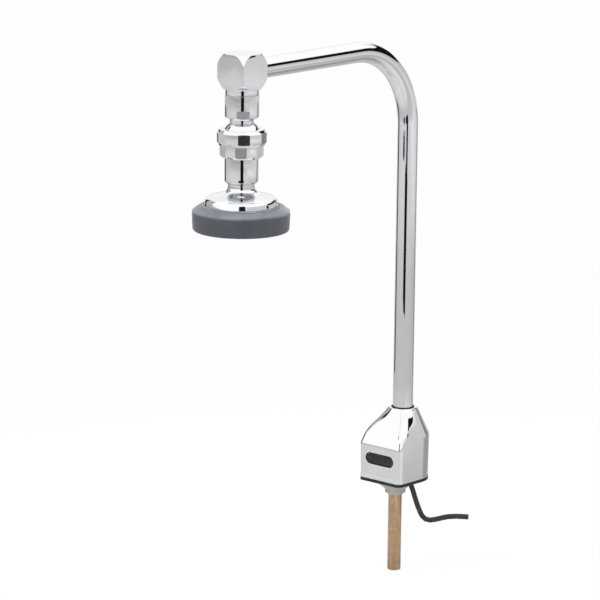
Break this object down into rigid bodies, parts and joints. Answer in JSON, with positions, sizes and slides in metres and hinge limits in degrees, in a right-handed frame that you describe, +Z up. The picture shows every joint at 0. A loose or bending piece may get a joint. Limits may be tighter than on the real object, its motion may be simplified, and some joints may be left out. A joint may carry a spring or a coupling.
{
  "type": "electronic sensor faucet",
  "caption": "Deck-mounted chrome faucet: an infrared eye in the base, a tall bent swivel spout and a spray head hanging from a ball joint, with a copper tail and a power cord.",
  "frame": {"origin": "centre of the deck hole on the top of the deck, which is the underside of the gasket and the top end of the hub's spigot", "axes": "+Z up out of the deck, -Y towards the user (the eye and the spout point that way), +X to the user's right; the riser axis is 9 mm behind the origin"},
  "size_m": [0.0989, 0.3105, 0.5188],
  "materials": {
    "chrome": "polished",
    "black_rubber": "matt",
    "grey_rubber": "satin moulded",
    "zinc": "as cast",
    "hub_grey": "moulded, light grey",
    "copper": "drawn copper",
    "brass": "machined",
    "steel": "bright",
    "ivory_plastic": "moulded",
    "coil_black": "moulded",
    "lens_dark": "glossy, infrared-clear",
    "board_green": "solder mask",
    "eye_plastic": "clear moulded",
    "cable_black": "matt jacket",
    "cable_red": "matt jacket",
    "green_plastic": "moulded"
  },
  "bodies": {
    "base": {"faucet_body": "chrome", "base_gasket": "black_rubber", "base_plate": "zinc", "base_screws": "steel", "mounting_hub": "hub_grey", "supply_tube": "copper", "supply_ferrule": "brass", "inlet_o_ring": "black_rubber", "waterway_block": "brass", "neck_bushing": "ivory_plastic", "neck_seal_ring": "black_rubber", "retaining_ring": "steel", "valve_guide_tube": "steel", "solenoid_coil": "coil_black", "solenoid_yoke": "steel", "coil_clip": "steel", "plunger_spring": "steel", "sensor_lens": "lens_dark", "lens_rim": "black_rubber", "sensor_housing": "coil_black", "sensor_board": "board_green", "infrared_emitter": "eye_plastic", "infrared_receiver": "eye_plastic", "sensor_lead": "cable_black", "coil_lead": "cable_red", "cord_grommet": "black_rubber", "power_cord": "cable_black"},
    "plunger": {"valve_plunger": "steel", "valve_seat_disc": "black_rubber"},
    "spout": {"spout_foot": "brass", "spout_o_rings": "black_rubber", "spout_tube": "chrome", "outlet_elbow": "chrome", "stem_washer": "black_rubber", "ball_stem": "chrome"},
    "joint_liner": {"ball_liner": "ivory_plastic"},
    "joint_seal": {"ball_seal": "black_rubber"},
    "spray_head": {"union_nut": "chrome", "socket_nut": "chrome", "sleeve_washer": "black_rubber", "flow_restrictor": "green_plastic", "head_sleeve": "chrome", "spray_bell": "chrome", "rubber_bumper": "grey_rubber", "spray_plate": "steel", "plate_screw": "steel"}
  },
  "joints": [
    {"name": "spout_swivel", "type": "hinge", "parent": "base", "child": "spout", "pos_m": [0, 0.009, 0.0695], "axis": [0, 0, 1], "continuous": true},
    {"name": "head_tilt_x", "type": "hinge", "parent": "spout", "child": "joint_liner", "pos_m": [0, -0.2196, 0.355], "axis": [1, 0, 0], "range_deg": [-10, 10]},
    {"name": "head_tilt_y", "type": "hinge", "parent": "joint_liner", "child": "joint_seal", "pos_m": [0, -0.2196, 0.355], "axis": [0, 1, 0], "range_deg": [-10, 10]},
    {"name": "head_spin", "type": "hinge", "parent": "joint_seal", "child": "spray_head", "pos_m": [0, -0.2196, 0.355], "axis": [0, 0, 1], "continuous": true},
    {"name": "plunger_lift", "type": "slide", "parent": "base", "child": "plunger", "axis": [0, 0, 1], "range_m": [0, 0.002], "stiffness_N_per_m": 200, "springref_m": -0.003, "deforming": ["plunger_spring"]}
  ]
}
